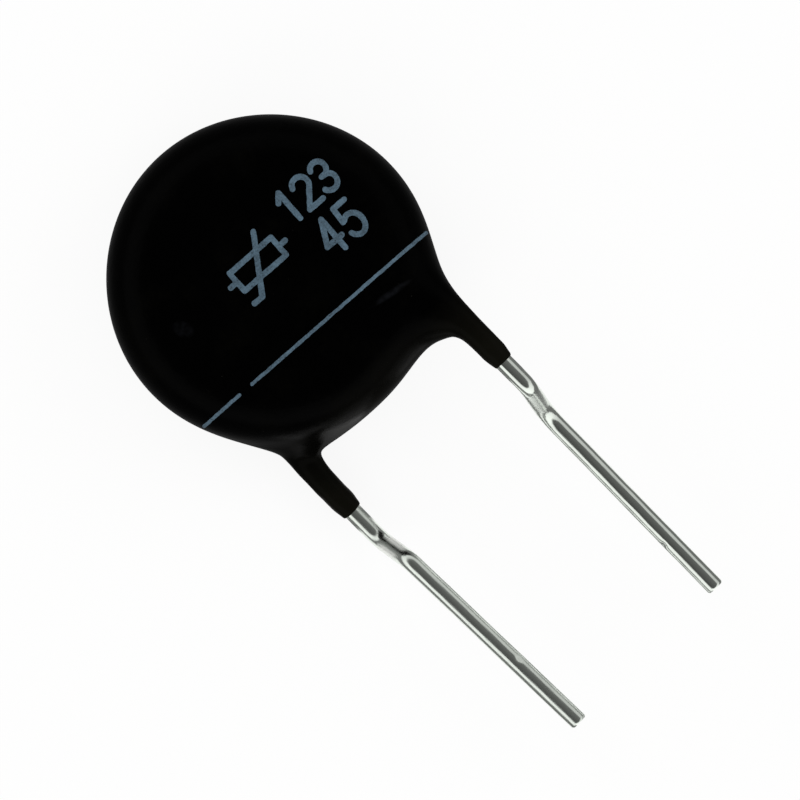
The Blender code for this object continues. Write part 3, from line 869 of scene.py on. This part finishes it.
studio = {
    "floorReach": 3.0,
    "floorDrop": 0.005,
    "floorColour": (0.8, 0.8, 0.79, 1.0),
    "floorWhite": 0.85,
    "floorGlow": 1.055,
    "darkFloor": 0.17,
    "patchPlace": 3.45,
    "patchHalf": 1.9,
    "patchWidening": 1.1,
    "patchNarrows": (14.0, 17.0),
    "patchEdge": 0.5,
    "patchFade": 0.3,
    "patchStart": 8.3,
    "backPatch": (6.3, 7.95),
    "backPatchWhite": 0.8,
    "fill": 0.55,
    "tent": 0.82,
    "tentSlant": 0.25,
    "tentAhead": 0.35,
    "tentAheadRise": 1.4,
    "tentAheadFrom": 0.4,
    "tentOpening": 48.0,
    "tentOpeningFade": 0.16,
    "overhead": 0.1,
    "overheadSlant": 0.055,
    "horizon": 0.14,
    "horizonHeight": 0.02,
    "horizonFade": 0.14,
    "lampPower": 0.03,
    "lampDistance": 150.0,
    "lampSize": 90.0,
    "lampAim": (0.0, -4.0, 2.0),
}
softBoxes = {    # azimuth and elevation, in degrees
    "softBoxLeft": (200.0, 40.0),
    "softBoxRight": (-20.0, 40.0),
    "softBoxBack": (90.0, 45.0),
}


def lookingRays(tree):
    # the rays that shiny surfaces send, and those of the camera, also through glass
    light = tree.nodes.new("ShaderNodeLightPath")
    glossy = Field(tree, light.outputs["Is Glossy Ray"])
    seen = Field(tree, light.outputs["Is Camera Ray"]) + Field(tree, light.outputs["Is Transmission Ray"])
    return glossy, seen.clamped()


def makeFloor():
    # pale floor with a faint shadow; shiny metal sees it dark, but for white patches under the leads
    place = (0.0, 0.0, -studio["floorDrop"] * mm)
    bpy.ops.mesh.primitive_plane_add(size=studio["floorReach"], location=place)
    floor = bpy.context.object
    floor.name = "paleFloor"
    material = bpy.data.materials.new("paleFloor")
    material.use_nodes = True
    tree = material.node_tree
    tree.nodes.clear()
    across, y, _ = objectAxes(tree)
    along = y * -1.0
    edge = studio["patchEdge"]
    outward = across.apply("ABSOLUTE") - studio["patchPlace"]
    first, last = studio["patchNarrows"]
    widening = ((along * -1.0 + last) / (last - first)).clamped() * studio["patchWidening"]
    outerSide = (widening + studio["patchHalf"] - outward) / edge + 1.0
    innerSide = (outward + studio["patchHalf"]) / edge + 1.0
    front = ((along - studio["patchStart"]) / studio["patchFade"]).eased()
    first, last = studio["backPatch"]
    back = ((along - first) / edge).eased() * ((along * -1.0 + last) / studio["patchFade"]).eased()
    back = back * (across * -1.0).clamped() * studio["backPatchWhite"]
    white = outerSide.eased() * innerSide.eased() * front.atLeast(back)
    glossy, seen = lookingRays(tree)
    inMetal = white * (1.0 - studio["darkFloor"]) + studio["darkFloor"]
    strength = (inMetal * glossy) + (glossy * -1.0 + 1.0) * studio["floorGlow"]
    share = (seen * studio["floorWhite"]).atLeast(glossy)
    matt = addNode(tree, "ShaderNodeBsdfDiffuse", {"Color": studio["floorColour"]})
    glow = addNode(tree, "ShaderNodeEmission", links={"Strength": strength})
    mix = addNode(tree, "ShaderNodeMixShader", links={0: share, 1: matt.outputs[0], 2: glow.outputs[0]})
    addNode(tree, "ShaderNodeOutputMaterial", links={0: mix.outputs[0]})
    floor.data.materials.append(material)


def makeTent():
    # a white light tent with a dark round opening overhead, plain white to the camera
    world = bpy.data.worlds.new("lightTent")
    bpy.context.scene.world = world
    world.use_nodes = True
    tree = world.node_tree
    tree.nodes.clear()
    direction = tree.nodes.new("ShaderNodeTexCoord").outputs["Generated"]
    split = addNode(tree, "ShaderNodeSeparateXYZ", links={0: direction})
    aside, back, height = (Field(tree, socket) for socket in split.outputs)
    opening = math.cos(math.radians(studio["tentOpening"]))
    below = ((height * -1.0 + opening) / studio["tentOpeningFade"] + 0.5).eased()
    above = ((height - studio["horizonHeight"]) / studio["horizonFade"]).eased()
    ahead = (back * -studio["tentAheadRise"] - studio["tentAheadFrom"]).clamped() * studio["tentAhead"]
    wall = aside * -studio["tentSlant"] + ahead + studio["tent"]
    overhead = aside * studio["overheadSlant"] + studio["overhead"]
    tent = (wall * below + (below * -1.0 + 1.0) * overhead) * above
    tent = tent + (above * -1.0 + 1.0) * studio["horizon"]
    glossy, seen = lookingRays(tree)
    other = ((glossy + seen) * -1.0 + 1.0).clamped()
    strength = seen + glossy * tent + other * studio["fill"]
    white = {"Color": (1.0, 1.0, 1.0, 1.0)}
    background = addNode(tree, "ShaderNodeBackground", white, {"Strength": strength})
    addNode(tree, "ShaderNodeOutputWorld", links={0: background.outputs[0]})


def addLamp(name, azimuth, elevation):
    # a soft box that looks at the disc
    light = bpy.data.lights.new(name, "AREA")
    light.shape = "DISK"
    light.size = studio["lampSize"] * mm
    light.energy = studio["lampPower"]
    lamp = bpy.data.objects.new(name, light)
    bpy.context.scene.collection.objects.link(lamp)
    turn, lift = math.radians(azimuth), math.radians(elevation)
    way = Vector((math.cos(turn) * math.cos(lift), math.sin(turn) * math.cos(lift), math.sin(lift)))
    lamp.location = way * studio["lampDistance"] * mm + Vector(studio["lampAim"]) * mm
    lamp.rotation_euler = way.to_track_quat("Z", "Y").to_euler()
    lamp.visible_glossy = False


cameraView = {
    "lens": 400.0,
    "sensor": 36.0,
    "frameWidth": 27.86,
    "aim": (0.24, -6.17, 2.275),
    "turn": 44.6,
}


def makeCamera():
    # straight down on the printed face, turned so that the leads run to the lower right
    data = bpy.data.cameras.new("camera")
    data.lens = cameraView["lens"]
    data.sensor_width = cameraView["sensor"]
    distance = cameraView["frameWidth"] * cameraView["lens"] / cameraView["sensor"]
    data.clip_start = 0.001
    data.clip_end = 10.0
    camera = bpy.data.objects.new("camera", data)
    bpy.context.scene.collection.objects.link(camera)
    camera.location = (Vector(cameraView["aim"]) + Vector((0.0, 0.0, distance))) * mm
    camera.rotation_euler = (0.0, 0.0, -math.radians(cameraView["turn"]))
    bpy.context.scene.camera = camera


print("stage, light and camera")
makeFloor()
makeTent()
for name, angles in softBoxes.items():
    addLamp(name, *angles)
makeCamera()
bpy.context.scene.view_settings.view_transform = "Standard"
